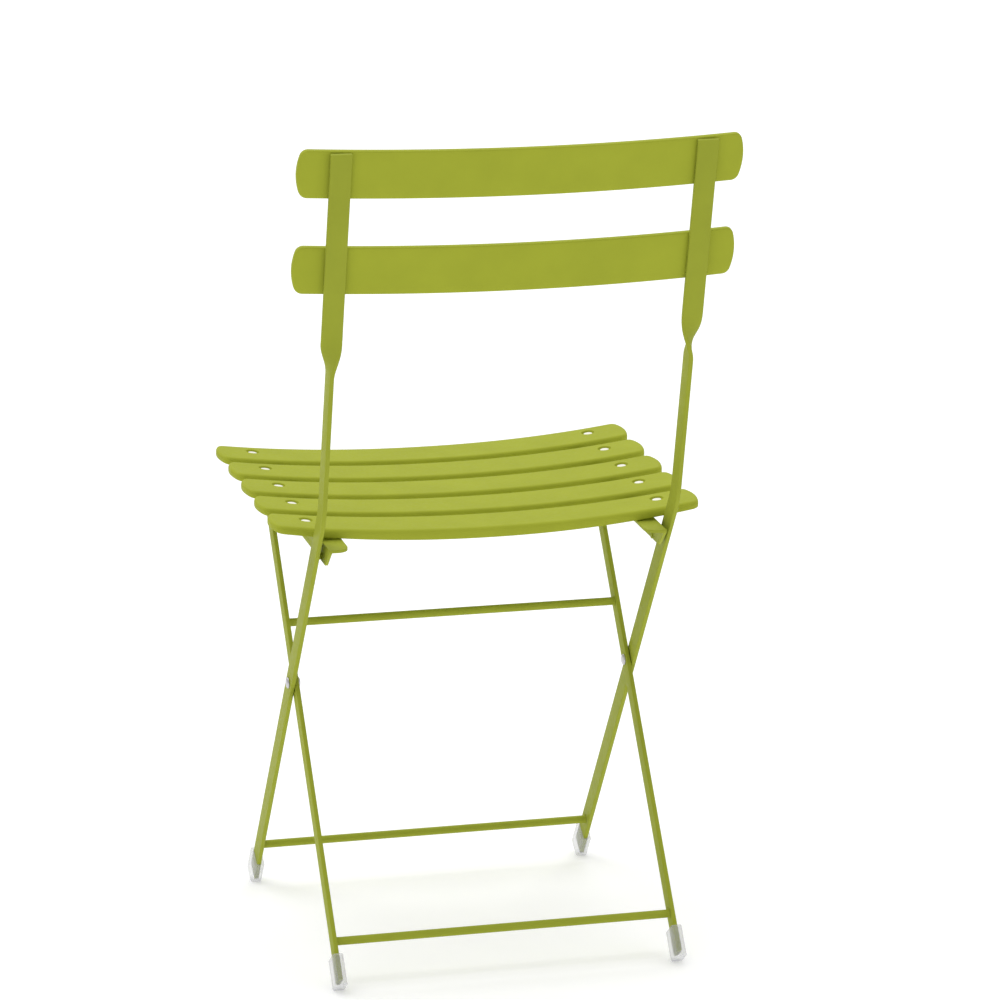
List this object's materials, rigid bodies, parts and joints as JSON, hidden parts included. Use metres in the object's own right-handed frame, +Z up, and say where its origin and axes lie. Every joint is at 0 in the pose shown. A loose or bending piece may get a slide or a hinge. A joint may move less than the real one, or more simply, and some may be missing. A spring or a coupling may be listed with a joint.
{
  "type": "folding chair",
  "caption": "Folding slatted garden chair: crossed flat steel bars, a bowed seat and back of green slats, and clear plastic feet.",
  "frame": {"origin": "on the floor, under the middle of the chair's footprint", "axes": "+Z up, -Y is the way a sitter faces, +X is the sitter's left"},
  "size_m": [0.4226, 0.4395, 0.816],
  "materials": {
    "green_bar_paint": "satin powder coat",
    "green_slat_paint": "satin powder coat",
    "zinc": "bare zinc-plated steel",
    "clear_plastic": "clear grey moulded plastic",
    "white_plastic": "white moulded plastic"
  },
  "bodies": {
    "back_frame": {"upright_left": "green_bar_paint", "upright_right": "green_bar_paint", "front_crossbar": "green_bar_paint", "back_slat_upper": "green_slat_paint", "back_slat_lower": "green_slat_paint", "front_boot_left": "clear_plastic", "front_boot_right": "clear_plastic", "cross_rivet_left": "zinc", "cross_rivet_right": "zinc", "seat_rest_pin_left": "green_bar_paint", "seat_rest_pin_right": "green_bar_paint"},
    "leg_frame": {"rear_leg_left": "green_bar_paint", "rear_leg_right": "green_bar_paint", "rear_crossbar": "green_bar_paint", "spreader_bar": "green_bar_paint", "rear_boot_left": "clear_plastic", "rear_boot_right": "clear_plastic"},
    "seat": {"seat_rail_left": "green_bar_paint", "seat_rail_right": "green_bar_paint", "seat_slat_1": "green_slat_paint", "slat_plug_1_left": "white_plastic", "slat_plug_1_right": "white_plastic", "seat_slat_2": "green_slat_paint", "slat_plug_2_left": "white_plastic", "slat_plug_2_right": "white_plastic", "seat_slat_3": "green_slat_paint", "slat_plug_3_left": "white_plastic", "slat_plug_3_right": "white_plastic", "seat_slat_4": "green_slat_paint", "slat_plug_4_left": "white_plastic", "slat_plug_4_right": "white_plastic", "seat_slat_5": "green_slat_paint", "slat_plug_5_left": "white_plastic", "slat_plug_5_right": "white_plastic", "seat_hinge_rivet_left": "zinc", "seat_hinge_rivet_right": "zinc"}
  },
  "joints": [
    {"name": "leg_fold", "type": "hinge", "parent": "back_frame", "child": "leg_frame", "pos_m": [0, -0.0265, 0.2563], "axis": [-1, 0, 0], "range_deg": [0, 58]},
    {"name": "seat_hinge", "type": "hinge", "parent": "leg_frame", "child": "seat", "pos_m": [0, -0.1516, 0.426], "axis": [1, 0, 0], "range_deg": [0, 133.5]}
  ],
  "couplings": [
    {"joint": "seat_hinge", "follows": "leg_fold", "ratio": 2.3}
  ]
}
